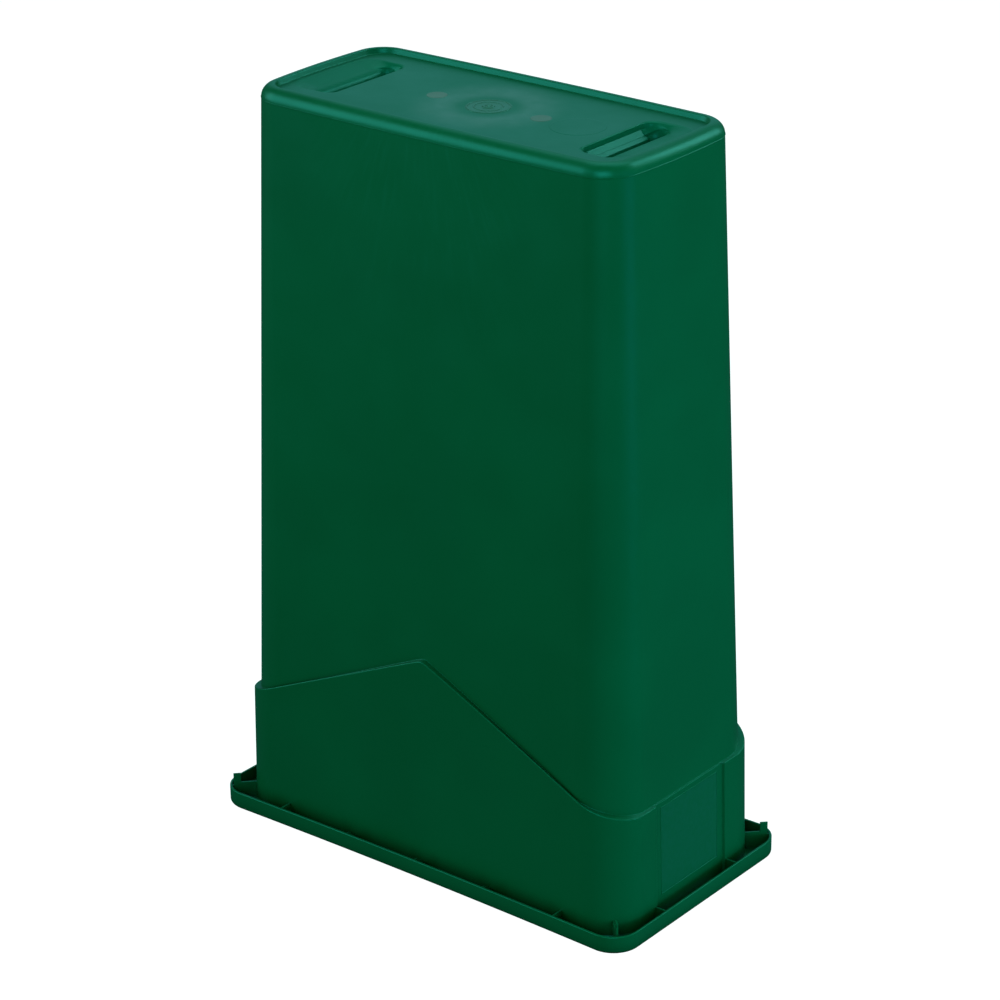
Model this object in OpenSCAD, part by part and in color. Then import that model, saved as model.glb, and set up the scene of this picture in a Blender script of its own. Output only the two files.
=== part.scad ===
// Slim rectangular waste container, one injection moulding, standing upside down on its rim.
// Millimetres. Z up. The origin is the centre of the rim plane. X runs along the long sides.
// The nodes are the zones of the moulding, and neighbours meet face to face.

/* [Overall] */
// Height from the rim plane to the crest of the foot ring
height = 751.4; // [680:0.1:800]
// Thickness of the moulded walls
wall = 3.2; // [2.4:0.1:4]

/* [Rim] */
// Length of the rim over the skirt
rim_length = 508; // [470:1:540]
// Width of the rim over the skirt
rim_width = 269.6; // [256:1:290]
// Corner radius of the rim in plan
rim_corner = 29; // [24:0.1:34]
// How far the middle of each long side of the rim bows inwards
rim_bow = 2.9; // [0:0.1:4]
// Height of the rim's skirt
skirt_height = 18; // [14:0.5:22]
// Thickness of the rim's skirt
skirt_wall = 2.4; // [1.6:0.1:3]
// Radius of the edge between the deck and the skirt
rim_edge = 3; // [1:0.5:4]
// Fillet between the deck and the skirt's inner face
rim_fillet = 0.2; // [0.1:0.1:1]

/* [Collar] */
// Gap from the rim's outline to the collar's face at each end
end_margin = 14; // [12:0.5:16]
// Gap from the rim's outline to the collar's face at each long side
side_margin = 16; // [15:0.5:18]
// Corner radius of the collar in plan
collar_corner = 43; // [40:1:46]
// How far the middle of each long side of the collar bows inwards
collar_bow = 6; // [0:0.5:7]
// Height of the ledge at the two ends
ledge_height = 122.5; // [100:0.5:135]
// Height of the ledge at the peak of each chevron
peak_height = 226; // [200:1:260]
// Height of the ledge where a chevron meets a corner
shoulder_height = 140.5; // [136:0.5:155]
// Draft angle of the collar's ends
collar_end_draft = 1.3; // [0.5:0.1:1.8]
// Draft angle of the collar's long sides
collar_side_draft = 0.1; // [0:0.05:0.5]
// Width of the ledge, from the collar's face to the wall above it
ledge_width = 3.6; // [3:0.1:4.5]

/* [Walls] */
// Draft angle of the two end walls
end_draft = 1.8; // [1.5:0.05:2.4]
// Draft angle of the two long walls
side_draft = 1.8; // [1.2:0.05:2]
// Corner radius of the walls just above the ledge
wall_corner = 47; // [44:1:50]
// Corner radius of the walls at the foot ring
foot_corner = 36.4; // [30:0.1:40]
// How far the middle of each long wall crowns outwards at the foot ring
side_crown = 2; // [0:0.1:4]
// How far the middle of each end wall crowns outwards at the foot ring
end_crown = 2.2; // [0:0.1:5]

/* [End panels] */
// Width of the recessed panel in each end of the collar
panel_width = 110; // [90:1:116]
// Depth of the recessed panel
panel_depth = 2.4; // [1:0.1:2.6]
// Height of the label outline's lower line
label_low = 24.5; // [22:0.5:60]
// Gap from the label outline's upper line to the ledge
label_top_gap = 6; // [6:1:30]
// Gap from the label outline to each side of the recessed panel
label_side_gap = 9.5; // [4:0.5:20]
// Width of the label outline's line
label_line = 0.8; // [0.6:0.1:1.5]
// How far the label outline stands out
label_raise = 0.5; // [0.2:0.1:0.8]

/* [Base] */
// Outer radius of the foot ring
foot_round = 12; // [8:1:13]
// Width of the foot ring, from the wall to the base panel
foot_width = 15.5; // [15:0.5:18]
// Depth of the base panel below the crest of the foot ring
base_recess = 5.1; // [4:0.1:6]
// Distance from the middle of the base to the near edge of a grip pocket
pocket_inner = 141.5; // [130:0.5:142]
// Width of a grip pocket
pocket_width = 44; // [34:1:46]
// Length of a grip pocket
pocket_length = 112; // [90:1:120]
// Depth of a grip pocket below the base panel
pocket_depth = 34; // [20:1:45]
// Width of the step partway down a grip pocket
pocket_step = 1.6; // [0.5:0.1:3]
// Depth of that step below the base panel
step_depth = 14; // [6:1:18]
// Outer radii of the raised rings round the gate
gate_rings = [21, 14]; // [7:0.5:30]
// Width of each of those rings
ring_width = 1.3; // [0.8:0.1:2]
// Height of the rings
ring_height = 0.8; // [0.3:0.1:1.2]
// Radius of the nib at the gate
nib_radius = 6; // [3:0.5:8]
// Height of the nib
nib_height = 1.4; // [0.5:0.1:2]
// Distance of each ejector pad from the middle of the base
pad_offset = 61; // [45:1:70]
// Radius of an ejector pad
pad_radius = 9.8; // [6:0.1:12]
// Distance of the blank disc from the middle of the base
disc_offset = 103; // [98:1:108]
// Radius of the blank disc
disc_radius = 26; // [15:1:28]
// Height of the ejector pads and the blank disc
pad_height = 0.3; // [0.2:0.1:0.5]

/* [Ribs] */
// Thickness of the ribs and gussets in the rim
rib_wall = 2; // [1.5:0.1:3]
// Spacing of the ribs along the long sides
rib_pitch = 86; // [70:1:90]
// Distance of each rib on an end from the middle of that end
end_rib_offset = 58; // [56:1:66]
// Height of each corner gusset above the skirt's lip
gusset_rise = 2.2; // [0:0.1:3]
// Height of the tab that stands above each corner gusset
tab_height = 10; // [4:0.5:12]
// Width of that tab
tab_width = 7.6; // [4:0.5:9]

/* [Hidden] */

green = [0.0, 0.29, 0.19];
light_green = [0.05, 0.38, 0.29];
$fn = 64;

corner_steps = 8;
deck = wall;
ledge_edge = 2.4;
ledge_rise = 1.6;
panel_slope = 1.2;
crest_land = 1;
ledge_lap = 1;
wall_gap = 0.5;
lip_edge = 0.8;
tab_gap = 1.5;
cut = 1;
rib_top = skirt_height - lip_edge;
skirt_foot = deck + rim_fillet;
base_z = height - base_recess;
foot_z = height - foot_round;

// ---- Plan outlines: [length, width, corner radius, end crown, side crown] ----
// The length and width are those over the corner arcs. A crown is the height of the gentle arc
// that each side bulges by, and a negative one bows in.

// The rim's outline
rim_plan = [rim_length, rim_width, rim_corner, 0, -rim_bow];

// The collar's outer face at height z
collar_l = rim_length - 2 * end_margin;
collar_w = rim_width - 2 * side_margin;
function collar_plan(z) = [collar_l - 2 * z * tan(collar_end_draft),
                           collar_w - 2 * z * tan(collar_side_draft), collar_corner, 0, -collar_bow];

// The walls' outer face at height z
wall_l = collar_plan(ledge_height)[0] - 2 * ledge_width;
wall_w = collar_plan(ledge_height)[1] - 2 * ledge_width;
function wall_plan(z) =
    let (rise = z - ledge_height, up = rise / (foot_z - ledge_height))
    [wall_l - 2 * rise * tan(end_draft), wall_w - 2 * rise * tan(side_draft),
     wall_corner + (foot_corner - wall_corner) * up, end_crown * up,
     side_crown * up - collar_bow * (1 - up)];

// The same outline moved inwards
function inset(plan, d) = [plan[0] - 2 * d, plan[1] - 2 * d, max(plan[2] - d, 0.5), plan[3], plan[4]];

// ---- Stations round the outline: [zone, s] ----
// Zones run anticlockwise from the right end: even zones are sides, with s from -1 to 1, and odd
// zones are corners, with s from 0 to 1.

RIGHT = 0;
REAR = 2;
LEFT = 4;
FRONT = 6;

// The angle that a side's crown turns through, from its middle to its corner
function lean(crown, half) = 2 * atan(crown / half);
// A point on a crowned side: how far along it, and how far out
function side_point(s, crown, half, r, reach) =
    let (b = lean(crown, half))
    abs(b) < 0.01 ? [s * half, reach]
    : let (big = half / sin(b) + r) [big * sin(s * b), reach + crown - big * (1 - cos(s * b))];

// A station's point on a plan, at height z
function at(st, plan, z) =
    let (zone = st[0], s = st[1], r = plan[2], cx = plan[0] / 2 - r, cy = plan[1] / 2 - r,
         end_lean = lean(plan[3], cy), side_lean = lean(plan[4], cx),
         odd = zone % 2 == 1, on_end = zone % 4 == 0,
         p = odd ? [0, 0]
             : (on_end ? side_point(s, plan[3], cy, r, plan[0] / 2)
                       : side_point(s, plan[4], cx, r, plan[1] / 2)),
         turn = 90 - end_lean - side_lean,
         a = zone == 1 ? end_lean + s * turn
             : (zone == 3 ? 90 + side_lean + s * turn
             : (zone == 5 ? 180 + end_lean + s * turn : 270 + side_lean + s * turn)),
         sx = (zone == 1 || zone == 7) ? 1 : -1,
         sy = zone < 4 ? 1 : -1)
    odd ? [sx * cx + r * cos(a), sy * cy + r * sin(a), z]
    : (zone == RIGHT ? [p[1], p[0], z]
    : (zone == REAR ? [-p[0], p[1], z]
    : (zone == LEFT ? [-p[1], -p[0], z] : [p[0], -p[1], z])));

// Steps along a long side, which include its middle, where the chevron peaks
side_steps = [for (i = [-6 : 6]) i / 6];
// Steps along an end, with a pair at each edge of the recessed panel
end_flat = collar_w / 2 - collar_corner;
panel_in = (panel_width / 2 - panel_slope) / end_flat;
panel_out = (panel_width / 2) / end_flat;
panel_steps = [-panel_in, -panel_in / 2, 0, panel_in / 2, panel_in];
end_steps = concat([-1, -panel_out], panel_steps, [panel_out, 1]);
corner_fractions = [for (k = [0 : corner_steps]) k / corner_steps];

function along(zone, steps) = [for (s = steps) [zone, s]];
function after_first(list) = [for (i = [1 : len(list) - 1]) list[i]];

// All the stations, once round, with no station twice
ring = [for (zone = [0 : 7])
    each along(zone, after_first(zone % 2 == 1 ? corner_fractions
                                 : (zone % 4 == 0 ? end_steps : side_steps)))];

// Depth of the end panel's recess at a station
function recess(st) = (st[0] % 4 == 0 && abs(st[1]) <= panel_in + 0.001) ? panel_depth : 0;

// Height of the ledge at a station: a chevron on each long side, easing down round the corners
corner_arc = collar_corner * PI / 2;
chevron_slope = (peak_height - shoulder_height) / (collar_plan(shoulder_height)[0] / 2 - collar_corner);
corner_drop = shoulder_height - ledge_height;
ease = max(1, chevron_slope * corner_arc / corner_drop);
function corner_ledge(part) = ledge_height + corner_drop * pow(part, ease);
function ledge_z(st) =
    st[0] % 4 == 0 ? ledge_height
    : (st[0] % 4 == 2 ? peak_height - (peak_height - shoulder_height) * abs(st[1])
    : corner_ledge(st[0] % 4 == 1 ? st[1] : 1 - st[1]));

// ---- Skins: solids swept from one section loop to the next ----

// Joins section loops into a solid: a closed ring, or an open strip with an end cap at each end
module skin(loops, closed = false) {
    n = len(loops);
    m = len(loops[0]);
    spans = closed ? n : n - 1;
    sides = [for (i = [0 : spans - 1], j = [0 : m - 1])
        let (a = i * m, b = ((i + 1) % n) * m, k = (j + 1) % m)
        each [[a + j, a + k, b + k], [a + j, b + k, b + j]]];
    end = (n - 1) * m;
    caps = closed ? [] : [for (j = [1 : m - 2]) each [[0, j + 1, j], [end, end + j, end + j + 1]]];
    polyhedron([for (loop = loops, p = loop) p], concat(sides, caps), convexity = 6);
}

// The section of the collar's wall at a station, from the deck to the ledge's lower edge
function collar_section(st) =
    let (top = ledge_z(st) - ledge_edge, r = recess(st))
    [at(st, inset(collar_plan(deck), r + wall), deck), at(st, inset(collar_plan(deck), r), deck),
     at(st, inset(collar_plan(top), r), top), at(st, inset(collar_plan(top), r + wall), top)];

// The section of the ledge: a rounded step in from the collar's face to the wall's face
function ledge_section(st) =
    let (z = ledge_z(st), low = z - ledge_edge, face = collar_plan(low), r = recess(st),
         e = min(ledge_edge, ledge_width - r - wall_gap))
    concat([at(st, inset(face, r + wall), low)],
           [for (a = [0 : 22.5 : 90])
               at(st, inset(face, r + e * (1 - cos(a))), low + ledge_edge * sin(a))],
           [at(st, wall_plan(z + ledge_rise), z + ledge_rise),
            at(st, inset(wall_plan(z + ledge_rise), wall), z + ledge_rise),
            at(st, inset(wall_plan(z - ledge_lap), wall), z - ledge_lap)]);

// The section of a wall, from the ledge to the foot ring
function wall_section(st) =
    let (low = ledge_z(st) + ledge_rise)
    [at(st, inset(wall_plan(low), wall), low), at(st, wall_plan(low), low),
     at(st, wall_plan(foot_z), foot_z), at(st, inset(wall_plan(foot_z), wall), foot_z)];

// The section of the foot ring: rounded out of the wall, over a narrow crest and down to the panel
function foot_section(st) =
    let (face = wall_plan(foot_z), fall = foot_width - foot_round - crest_land)
    concat([at(st, inset(face, wall), foot_z)],
           [for (a = [0 : 15 : 90])
               at(st, inset(face, foot_round * (1 - cos(a))), foot_z + foot_round * sin(a))],
           [for (a = [0 : 30 : 90])
               at(st, inset(face, foot_width - fall * (1 - sin(a))),
                  height - base_recess * (1 - cos(a)))],
           [at(st, inset(face, foot_width), base_z - wall)],
           [for (a = [60 : -20 : 20])
               at(st, inset(face, foot_round - (foot_round - wall) * cos(a)),
                  foot_z + (foot_round - wall) * sin(a))]);

// ---- Rim ----

// A filled outline
module plate(plan, z, t) {
    translate([0, 0, z]) linear_extrude(t)
        polygon([for (st = ring) let (p = at(st, plan, 0)) [p[0], p[1]]]);
}

// The flat deck round the mouth, under the collar, with its outer edge rounded
module rim_deck() {
    color(green) skin([for (st = ring)
        let (mouth = inset(collar_plan(0), recess(st) + wall))
        concat([at(st, mouth, 0)],
               [for (a = [0 : 30 : 90])
                   at(st, inset(rim_plan, rim_edge * (1 - sin(a))), rim_edge * (1 - cos(a)))],
               [at(st, rim_plan, skirt_foot), at(st, inset(rim_plan, skirt_wall), skirt_foot),
                at(st, inset(rim_plan, skirt_wall + rim_fillet), deck),
                at(st, inset(collar_plan(deck), recess(st) + wall), deck)])], closed = true);
}

// The skirt that stands up round the deck
module rim_skirt() {
    color(green) skin([for (st = ring)
        [at(st, inset(rim_plan, skirt_wall), skirt_foot), at(st, rim_plan, skirt_foot),
         at(st, rim_plan, rib_top), at(st, inset(rim_plan, lip_edge), skirt_height),
         at(st, inset(rim_plan, skirt_wall), skirt_height)]], closed = true);
}

// A thin web across the trough, from the collar's face to the skirt's inner face
module rib(inner_low, inner_high, outer) {
    rotate([90, 0, 0]) linear_extrude(rib_wall, center = true)
        polygon([[inner_low, deck], [outer, deck], [outer, rib_top], [inner_high, rib_top]]);
}

// How far out a long side of an outline is at a distance x from its middle
function face_y(x, plan) =
    let (half = plan[0] / 2 - plan[2], b = lean(plan[4], half))
    abs(b) < 0.01 ? plan[1] / 2
    : let (big = half / sin(b) + plan[2]) plan[1] / 2 + plan[4] - big * (1 - cos(asin(x / big)));

// Five ribs along each long side and two on each end
module trough_ribs() {
    color(light_green) for (turn = [0, 180]) rotate(turn) {
        for (i = [-2 : 2])
            let (low = face_y(i * rib_pitch, collar_plan(deck)),
                 high = face_y(i * rib_pitch, collar_plan(rib_top)),
                 skirt = face_y(i * rib_pitch, inset(rim_plan, skirt_wall)))
            translate([i * rib_pitch, 0, 0]) rotate(90) rib(low, high, skirt);
        for (side = [-1, 1])
            translate([0, side * end_rib_offset, 0])
                rib(collar_plan(deck)[0] / 2, collar_plan(rib_top)[0] / 2, rim_length / 2 - skirt_wall);
    }
}

// A diagonal web in each corner of the trough, with a tab that stands above the skirt
module corner_gussets() {
    for (sx = [-1, 1], sy = [-1, 1]) corner_gusset(sx, sy);
}

// Distance out along a diagonal from the rim corner's centre to the collar's corner arc
function gusset_start(z) =
    let (lag_x = rim_length / 2 - rim_corner - (collar_plan(z)[0] / 2 - collar_corner),
         lag_y = rim_width / 2 - rim_corner - (collar_plan(z)[1] / 2 - collar_corner),
         skew = (lag_y - lag_x) / sqrt(2))
    sqrt(pow(collar_corner, 2) - pow(skew, 2)) - (lag_x + lag_y) / sqrt(2);

module corner_gusset(sx, sy) {
    far = rim_corner - skirt_wall;
    tab_out = far - tab_gap;
    tab_in = tab_out - tab_width;
    top = skirt_height + gusset_rise;
    centre = [sx * (rim_length / 2 - rim_corner), sy * (rim_width / 2 - rim_corner), 0];
    color(light_green) translate(centre) rotate([90, 0, atan2(sy, sx)])
        linear_extrude(rib_wall, center = true)
            polygon([[gusset_start(deck), deck], [far, deck], [far, rib_top], [tab_out, rib_top],
                     [tab_out, top + tab_height], [tab_in, top + tab_height],
                     [tab_in, top], [gusset_start(top), top]]);
}

// ---- Collar ----

module collar_strip(stations) {
    color(green) skin([for (st = stations) collar_section(st)]);
}

module front_collar() {
    collar_strip(along(FRONT, side_steps));
}

module rear_collar() {
    collar_strip(along(REAR, side_steps));
}

// Each corner runs on along the end as far as the recessed panel, with the panel's side wall
module collar_corners() {
    before = [panel_in, panel_out, 1];
    after = [-1, -panel_out, -panel_in];
    for (end = [RIGHT, LEFT]) {
        collar_strip(concat(along(end, before), along(end + 1, after_first(corner_fractions))));
        collar_strip(concat(along((end + 7) % 8, corner_fractions), along(end, after_first(after))));
    }
}

module left_end_panel() {
    collar_strip(along(LEFT, panel_steps));
}

module right_end_panel() {
    collar_strip(along(RIGHT, panel_steps));
}

// A thin raised outline on each end panel, left blank
module label_frames() {
    high = ledge_height - label_top_gap;
    half = panel_width / 2 - label_side_gap;
    foot = collar_plan(0)[0] / 2 - panel_depth;
    color(light_green) for (turn = [0, 180]) rotate(turn)
        translate([foot, 0, 0]) rotate([0, -collar_end_draft, 0]) difference() {
            translate([0, -half, label_low]) cube([label_raise, 2 * half, high - label_low]);
            translate([-cut, -half + label_line, label_low + label_line])
                cube([label_raise + 2 * cut, 2 * (half - label_line), high - label_low - 2 * label_line]);
        }
}

module ledge() {
    color(green) skin([for (st = ring) ledge_section(st)], closed = true);
}

// ---- Walls ----

module wall_strip(stations) {
    color(green) skin([for (st = stations) wall_section(st)]);
}

module front_wall() {
    wall_strip(along(FRONT, side_steps));
}

module rear_wall() {
    wall_strip(along(REAR, side_steps));
}

module left_end_wall() {
    wall_strip(along(LEFT, end_steps));
}

module right_end_wall() {
    wall_strip(along(RIGHT, end_steps));
}

module corner_walls() {
    for (zone = [1 : 2 : 7]) wall_strip(along(zone, corner_fractions));
}

// ---- Base ----

module foot_ring() {
    color(green) skin([for (st = ring) foot_section(st)], closed = true);
}

// A slot with round ends, standing on z = 0
module slot(l, w, h) {
    linear_extrude(h) union() {
        square([w, l - w], center = true);
        for (s = [-1, 1]) translate([0, s * (l - w) / 2]) circle(d = w);
    }
}

pocket_x = pocket_inner + pocket_width / 2;

// The flat panel inside the foot ring, with the mouths of the two grip pockets cut through it
module base_panel() {
    color(green) difference() {
        plate(inset(wall_plan(foot_z), foot_width), base_z - wall, wall);
        for (s = [-1, 1]) translate([s * pocket_x, 0, base_z - wall - cut])
            slot(pocket_length, pocket_width, wall + 2 * cut);
    }
}

// A cup sunk into the base, stepped once on the way down
module grip_pocket() {
    color(green) translate([0, 0, base_z]) difference() {
        union() {
            translate([0, 0, -step_depth - wall]) slot(pocket_length, pocket_width, step_depth + wall);
            translate([0, 0, -pocket_depth - wall])
                slot(pocket_length - 2 * pocket_step, pocket_width - 2 * pocket_step, pocket_depth);
        }
        translate([0, 0, -step_depth])
            slot(pocket_length - 2 * wall, pocket_width - 2 * wall, step_depth + cut);
        translate([0, 0, -pocket_depth])
            slot(pocket_length - 2 * (wall + pocket_step), pocket_width - 2 * (wall + pocket_step),
                 pocket_depth);
    }
}

module left_grip_pocket() {
    translate([-pocket_x, 0, 0]) grip_pocket();
}

module right_grip_pocket() {
    translate([pocket_x, 0, 0]) grip_pocket();
}

// A round step of the given radius and height on the base panel
module disc(r, h) {
    translate([0, 0, base_z]) cylinder(r = r, h = h);
}

// The raised rings and nib left where the plastic enters the mould
module gate_boss() {
    color(light_green) {
        for (r = gate_rings) difference() {
            disc(r, ring_height);
            disc(r - ring_width, ring_height + cut);
        }
        disc(nib_radius, nib_height);
    }
}

module ejector_pads() {
    color(light_green) for (s = [-1, 1]) translate([s * pad_offset, 0, 0]) disc(pad_radius, pad_height);
}

module blank_disc() {
    color(light_green) translate([disc_offset, 0, 0]) disc(disc_radius, pad_height);
}

rim_deck();
rim_skirt();
trough_ribs();
corner_gussets();
front_collar();
rear_collar();
collar_corners();
left_end_panel();
right_end_panel();
label_frames();
ledge();
front_wall();
rear_wall();
left_end_wall();
right_end_wall();
corner_walls();
foot_ring();
base_panel();
left_grip_pocket();
right_grip_pocket();
gate_boss();
ejector_pads();
blank_disc();
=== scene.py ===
"""Looks for the slim waste container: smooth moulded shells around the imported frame.

Plan sizes are in millimetres, as in the part's own design; meshes are made in metres.
"""

import math

import bpy
from mathutils import Matrix, Vector
from mathutils.geometry import delaunay_2d_cdt


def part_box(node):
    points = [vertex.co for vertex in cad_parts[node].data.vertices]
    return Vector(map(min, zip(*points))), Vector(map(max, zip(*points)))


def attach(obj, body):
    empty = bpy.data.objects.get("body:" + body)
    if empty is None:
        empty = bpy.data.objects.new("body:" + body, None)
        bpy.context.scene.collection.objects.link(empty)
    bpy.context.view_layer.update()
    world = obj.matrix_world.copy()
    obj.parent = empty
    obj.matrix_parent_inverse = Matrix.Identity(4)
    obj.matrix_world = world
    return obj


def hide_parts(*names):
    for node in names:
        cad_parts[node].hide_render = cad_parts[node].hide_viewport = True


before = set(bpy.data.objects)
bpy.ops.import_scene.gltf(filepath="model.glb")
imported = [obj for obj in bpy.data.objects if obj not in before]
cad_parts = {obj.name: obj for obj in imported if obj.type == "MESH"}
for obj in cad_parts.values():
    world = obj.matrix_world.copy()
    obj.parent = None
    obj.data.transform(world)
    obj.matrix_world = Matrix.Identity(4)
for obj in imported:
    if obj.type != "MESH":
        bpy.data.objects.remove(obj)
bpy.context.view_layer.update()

MM = 0.001


# ---------------------------------------------------------------- sizes, from the frame

def box_mm(node):
    """A CAD node's lowest and highest corners, in millimetres."""
    low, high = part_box(node)
    return [v / MM for v in low], [v / MM for v in high]


def size_mm(node, axis):
    low, high = box_mm(node)
    return high[axis] - low[axis]


RIM_LENGTH = size_mm("rim_skirt", 0)
RIM_WIDTH = size_mm("rim_skirt", 1)
SKIRT_TOP = box_mm("rim_skirt")[1][2]
FOOT_Z = box_mm("foot_ring")[0][2]
CREST_Z = box_mm("foot_ring")[1][2]
BASE_Z = box_mm("base_panel")[1][2]
WALL = size_mm("base_panel", 2)
DECK = WALL
POCKET = box_mm("right_grip_pocket")
TAB_TOP = box_mm("corner_gussets")[1][2]

# Rim
RIM_CORNER = 29.0
RIM_BOW = 2.9
RIM_EDGE = 3.0
SKIRT_WALL = 2.4
SKIRT_LEVELS = (5, 9, 13)
SKIRT_LIP = 0.9
RIM_FILLET = 1.6

# Collar: its plan is taken at the rim's face, and it leans in from there
END_MARGIN = 14.0
SIDE_MARGIN = 16.0
COLLAR_LENGTH = RIM_LENGTH - 2 * END_MARGIN
COLLAR_WIDTH = RIM_WIDTH - 2 * SIDE_MARGIN
COLLAR_CORNER = 43.0
COLLAR_BOW = 6.0
COLLAR_FILLET = 2.0
COLLAR_END_DRAFT = math.tan(math.radians(1.3))
COLLAR_SIDE_DRAFT = math.tan(math.radians(0.1))
PANEL_HALF = 55.0
PANEL_DEPTH = 2.4
PANEL_EDGE = 1.6

# Ledge: level across the ends, and a chevron on each long side
LEDGE_Z = 122.5
SHOULDER_Z = 140.5
PEAK_Z = 226.0
PEAK_ROUND = 3.0
LEDGE_WIDTH = 3.6
LEDGE_EDGE = 1.0
LEDGE_RISE = 1.3
LEDGE_HOLLOW = 0.5

# Walls and foot ring
END_DRAFT = math.tan(math.radians(1.8))
SIDE_DRAFT = math.tan(math.radians(1.8))
WALL_CORNER = 47.0
FOOT_CORNER = 36.4
SIDE_CROWN = 2.0
END_CROWN = 2.2
FOOT_ROUND = CREST_Z - FOOT_Z
CREST_LAND = 1.0
PANEL_INSET = 16.2

# Ribs and gussets
RIB_WALL = 2.0
RIB_PITCH = 86.0
END_RIB = 58.0
RIB_TOP = SKIRT_TOP - 0.8
RIB_HEEL = DECK + 4.0
RIB_LAND = 4.0
GUSSET_TOP = SKIRT_TOP + 2.2
TAB_WIDTH = 7.6
TAB_GAP = 1.5

# How far one piece runs into the next, so that no gap shows between them
SUNK = 0.3
RIB_SUNK = 0.6
GUSSET_SUNK = 0.5


# ---------------------------------------------------------------- plan outlines

# An outline has eight zones: sides 0 (right), 2 (rear), 4 (left) and 6 (front), with corners between.
RIGHT = 0
REAR = 2
NEARLY_FLAT = 1e-4


class Plan:
    """A rounded rectangle whose sides may crown out or, with a crown below zero, bow in."""

    def __init__(self, length, width, corner, end_crown=0.0, side_crown=0.0):
        self.length = length
        self.width = width
        self.corner = corner
        self.end_crown = end_crown
        self.side_crown = side_crown

    def inset(self, d):
        corner = max(self.corner - d, 0.5)
        return Plan(self.length - 2 * d, self.width - 2 * d, corner, self.end_crown, self.side_crown)


def rim_plan():
    return Plan(RIM_LENGTH, RIM_WIDTH, RIM_CORNER, 0.0, -RIM_BOW)


def collar_plan(z):
    length = COLLAR_LENGTH - 2 * z * COLLAR_END_DRAFT
    width = COLLAR_WIDTH - 2 * z * COLLAR_SIDE_DRAFT
    return Plan(length, width, COLLAR_CORNER, 0.0, -COLLAR_BOW)


def wall_plan(z):
    foot = collar_plan(LEDGE_Z).inset(LEDGE_WIDTH)
    rise = z - LEDGE_Z
    up = rise / (FOOT_Z - LEDGE_Z)
    return Plan(foot.length - 2 * rise * END_DRAFT, foot.width - 2 * rise * SIDE_DRAFT,
                WALL_CORNER + (FOOT_CORNER - WALL_CORNER) * up, END_CROWN * up,
                SIDE_CROWN * up - COLLAR_BOW * (1 - up))


def lean(crown, half):
    """The angle that a side turns through from its middle to its corner."""
    return 2 * math.atan(crown / half)


def side_point(s, crown, half, corner, reach):
    """A point on a crowned side: how far along it, and how far out."""
    turn = lean(crown, half)
    if abs(turn) < NEARLY_FLAT:
        return s * half, reach
    big = half / math.sin(turn) + corner
    return big * math.sin(s * turn), reach + crown - big * (1 - math.cos(s * turn))


def at(station, plan, z):
    """The point of a station on a plan at height z. A station is its zone and how far along it is.

    Along a side that runs from -1 to 1, and round a corner from 0 to 1.
    """
    zone, s = station
    corner = plan.corner
    cx = plan.length / 2 - corner
    cy = plan.width / 2 - corner
    if zone % 4 == 0:
        along, out = side_point(s, plan.end_crown, cy, corner, plan.length / 2)
        return (out, along, z) if zone == RIGHT else (-out, -along, z)
    if zone % 4 == 2:
        along, out = side_point(s, plan.side_crown, cx, corner, plan.width / 2)
        return (-along, out, z) if zone == REAR else (along, -out, z)
    end_lean = lean(plan.end_crown, cy)
    side_lean = lean(plan.side_crown, cx)
    turn = math.pi / 2 - end_lean - side_lean
    start = {1: end_lean, 3: math.pi / 2 + side_lean,
             5: math.pi + end_lean, 7: 1.5 * math.pi + side_lean}[zone]
    angle = start + s * turn
    sx = 1 if zone in (1, 7) else -1
    sy = 1 if zone in (1, 3) else -1
    return sx * cx + corner * math.cos(angle), sy * cy + corner * math.sin(angle), z


CORNER_STEPS = 28
SIDE_STEPS = 60
END_FLAT = COLLAR_WIDTH / 2 - COLLAR_CORNER


def end_steps():
    """Steps along an end, closer together where the recessed panel's edges are rounded."""
    coarse = [0.0, 15.0, 30.0, 45.0, 50.0]
    edge = [PANEL_HALF + d for d in (-2.6, -2.0, -1.5, -1.1, -0.7, -0.3, 0.1, 0.5, 0.9, 1.4)]
    beyond = [58.0, 64.0, 70.0]
    clear_of_corner = END_FLAT - 2
    half = [y / END_FLAT for y in coarse + edge + beyond if y < clear_of_corner]
    return [-s for s in reversed(half)] + half[1:]


def smooth_steps(count):
    """Steps from -1 to 1, without the ends, closer together near the middle, where the chevron peaks."""
    even_share = 0.35
    bend = 0.4
    steps = [2 * i / count - 1 for i in range(1, count)]
    return [even_share * s + (1 - even_share) * s * abs(s) ** bend for s in steps]


def ring_stations():
    corner = [k / CORNER_STEPS for k in range(CORNER_STEPS + 1)]
    stations = []
    for zone in range(8):
        if zone % 2:
            steps = corner
        else:
            steps = end_steps() if zone % 4 == 0 else smooth_steps(SIDE_STEPS)
        stations += [(zone, s) for s in steps]
    return stations


RING = ring_stations()


def smoothstep(x):
    x = min(max(x, 0.0), 1.0)
    return x * x * (3 - 2 * x)


def recess(station):
    """Depth of the end panel's recess at a station."""
    zone, s = station
    if zone % 4:
        return 0.0
    inside_edge = PANEL_HALF + PANEL_EDGE / 2 - abs(s) * END_FLAT
    return PANEL_DEPTH * smoothstep(inside_edge / PANEL_EDGE)


def ledge_z(station):
    """Height of the ledge: a chevron on each long side, easing down round the corners."""
    zone, s = station
    if zone % 4 == 0:
        return LEDGE_Z
    drop = SHOULDER_Z - LEDGE_Z
    flat = collar_plan(SHOULDER_Z).length / 2 - COLLAR_CORNER
    slope = (PEAK_Z - SHOULDER_Z) / flat
    if zone % 4 == 2:
        x = abs(s) * flat
        return PEAK_Z - slope * math.hypot(x, PEAK_ROUND)
    ease = max(1.0, slope * COLLAR_CORNER * math.pi / 2 / drop)
    part = s if zone % 4 == 1 else 1 - s
    return LEDGE_Z + drop * part ** ease


# ---------------------------------------------------------------- mesh helpers

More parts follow.
